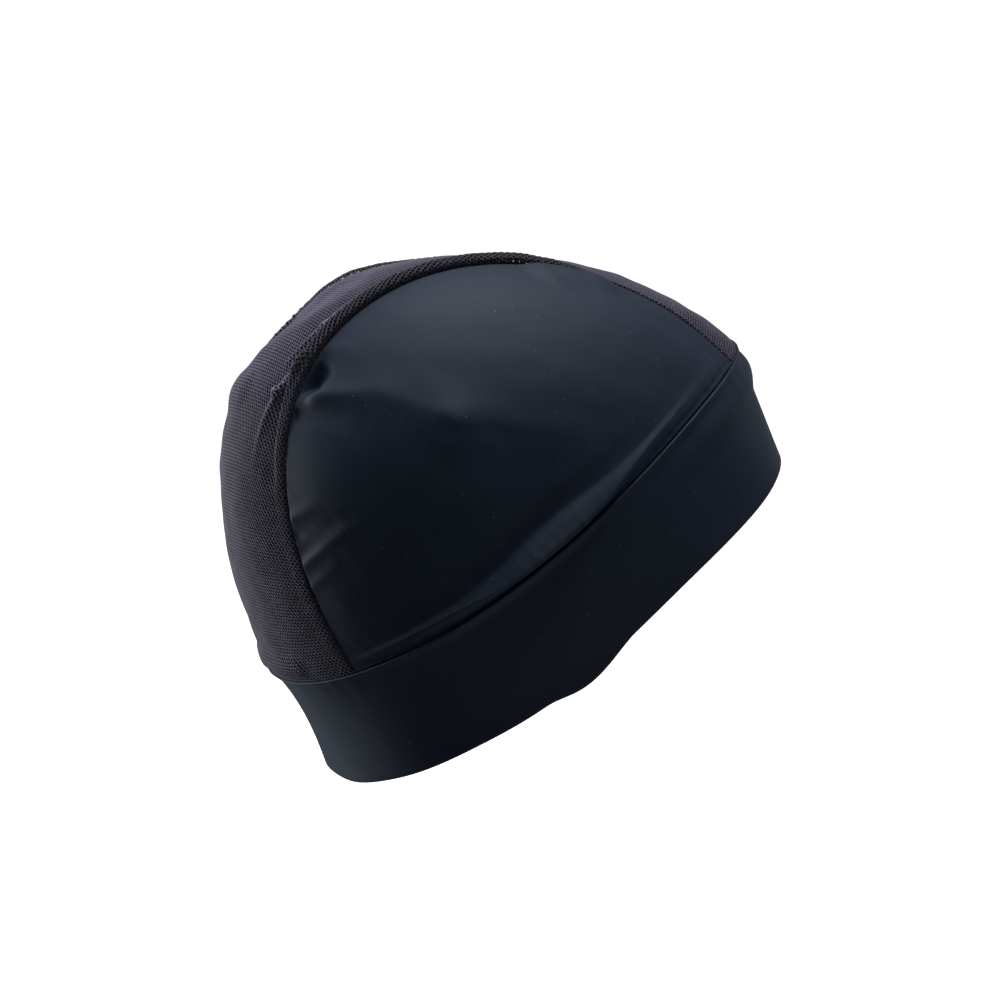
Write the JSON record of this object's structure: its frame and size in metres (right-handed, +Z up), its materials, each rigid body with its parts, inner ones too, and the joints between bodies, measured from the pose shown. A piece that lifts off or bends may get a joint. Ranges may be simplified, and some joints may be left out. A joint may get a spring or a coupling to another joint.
{
  "type": "helmet liner cap",
  "caption": "Close-fitting stretch skull cap with a mesh strip over the head, smooth side panels and a folded head band, worn under a helmet.",
  "frame": {"origin": "where the cap sits on the head: the highest point of the inside of the crown, in the mid-plane", "axes": "+Z up, out of the top of the head as it is held upright; the forehead faces -Y; the wearer's left is +X and right is -X"},
  "size_m": [0.1602, 0.1956, 0.1807],
  "materials": {
    "mesh_cloth": "open warp-knit mesh in charcoal, matt",
    "side_cloth": "smooth stretch cloth in very dark navy, soft sheen",
    "band_cloth": "the same stretch cloth in two layers, soft sheen"
  },
  "bodies": {
    "root": {"mesh_strip": "mesh_cloth", "side_panel_right": "side_cloth", "side_panel_left": "side_cloth", "head_band": "band_cloth"}
  },
  "joints": []
}
